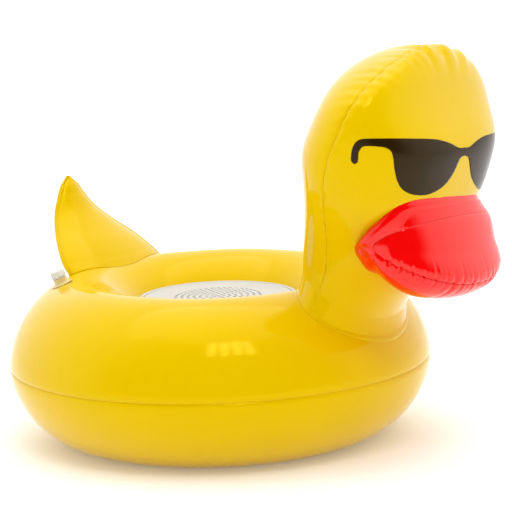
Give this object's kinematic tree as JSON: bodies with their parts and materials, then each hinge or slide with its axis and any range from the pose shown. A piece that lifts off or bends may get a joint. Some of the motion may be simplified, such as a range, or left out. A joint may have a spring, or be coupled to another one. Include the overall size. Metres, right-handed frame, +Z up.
{
  "type": "inflatable duck float with waterproof loudspeaker",
  "caption": "Inflatable duck ring float with neck, head, red beak and tail fin, carrying a round waterproof loudspeaker that lifts out of the ring.",
  "frame": {"origin": "centre of the bounding box, at the flat underside of the ring", "axes": "+Z up, -Y the way the duck faces, +X the duck's left"},
  "size_m": [0.23, 0.2782, 0.2155],
  "materials": {
    "yellow_film": "glossy inflated film",
    "red_film": "glossy inflated film",
    "clear_vinyl": "clear soft vinyl",
    "light_grey_plastic": "fine satin moulding",
    "grey_plastic": "satin moulding",
    "grey_rubber": "matte silicone",
    "black_rubber": "matte",
    "black_fabric": "woven cloth",
    "paper_cone": "pressed paper",
    "plated_steel": "bright plated",
    "ferrite": "sintered",
    "copper_wire": "enamelled copper",
    "circuit_board": "solder mask",
    "battery_wrap": "shrink wrap",
    "wire_jacket": "soft jacket"
  },
  "bodies": {
    "duck_float": {"ring_upper_panel": "yellow_film", "ring_lower_panel": "yellow_film", "head_front_panel": "yellow_film", "head_back_panel": "yellow_film", "beak_root_band": "red_film", "beak_upper_panel": "red_film", "beak_lower_panel": "red_film", "tail_front_panel": "yellow_film", "tail_back_panel": "yellow_film", "valve_stem": "clear_vinyl"},
    "speaker": {"bezel_ring": "grey_plastic", "grille_cover": "light_grey_plastic", "acoustic_mesh": "black_fabric", "upper_housing": "light_grey_plastic", "housing_gasket": "black_rubber", "lower_housing": "light_grey_plastic", "case_screw_1": "plated_steel", "case_screw_2": "plated_steel", "case_screw_3": "plated_steel", "case_screw_4": "plated_steel", "driver_gasket": "black_rubber", "driver_basket": "plated_steel", "surround": "black_rubber", "spider": "black_fabric", "top_plate": "plated_steel", "magnet": "ferrite", "yoke": "plated_steel", "circuit_board": "circuit_board", "board_screw_1": "plated_steel", "board_screw_2": "plated_steel", "switch_power": "grey_plastic", "switch_volume_down": "grey_plastic", "switch_volume_up": "grey_plastic", "switch_play": "grey_plastic", "charging_socket": "plated_steel", "battery_tray": "grey_plastic", "battery_cell": "battery_wrap", "driver_lead": "wire_jacket", "battery_lead": "wire_jacket"},
    "diaphragm": {"speaker_cone": "paper_cone", "dust_cap": "paper_cone", "voice_coil": "copper_wire"},
    "power_key": {"button_power": "grey_rubber"},
    "volume_down_key": {"button_volume_down": "grey_rubber"},
    "volume_up_key": {"button_volume_up": "grey_rubber"},
    "play_key": {"button_play": "grey_rubber"},
    "port_cover": {"port_flap": "grey_rubber"},
    "valve_stopper": {"valve_cap": "clear_vinyl"},
    "check_flap": {"valve_flap": "clear_vinyl"}
  },
  "joints": [
    {"name": "speaker_lift", "type": "slide", "parent": "duck_float", "child": "speaker", "axis": [0, 0, 1], "range_m": [0, 0.075]},
    {"name": "cone_travel", "type": "slide", "parent": "speaker", "child": "diaphragm", "axis": [0, 0, 1], "range_m": [-0.001, 0.001], "stiffness_N_per_m": 1000, "deforming": ["surround", "spider"]},
    {"name": "power_press", "type": "slide", "parent": "speaker", "child": "power_key", "axis": [0, 0, 1], "range_m": [0, 0.0006], "stiffness_N_per_m": 400},
    {"name": "volume_down_press", "type": "slide", "parent": "speaker", "child": "volume_down_key", "axis": [0, 0, 1], "range_m": [0, 0.0006], "stiffness_N_per_m": 400},
    {"name": "volume_up_press", "type": "slide", "parent": "speaker", "child": "volume_up_key", "axis": [0, 0, 1], "range_m": [0, 0.0006], "stiffness_N_per_m": 400},
    {"name": "play_press", "type": "slide", "parent": "speaker", "child": "play_key", "axis": [0, 0, 1], "range_m": [0, 0.0006], "stiffness_N_per_m": 400},
    {"name": "port_flap_swing", "type": "hinge", "parent": "speaker", "child": "port_cover", "pos_m": [0, 0.04515, 0.0189], "axis": [1, 0, 0], "range_deg": [0, 110], "stiffness_Nm_per_rad": 0.002},
    {"name": "valve_cap_pull", "type": "slide", "parent": "duck_float", "child": "valve_stopper", "axis": [-0.2123, 0.2887, 0.9336], "range_m": [0, 0.012]},
    {"name": "valve_flap_bend", "type": "hinge", "parent": "duck_float", "child": "check_flap", "pos_m": [-0.05038, 0.09267, 0.07895], "axis": [0.8057, 0.5924, 0], "range_deg": [0, 50], "stiffness_Nm_per_rad": 0.0002}
  ]
}
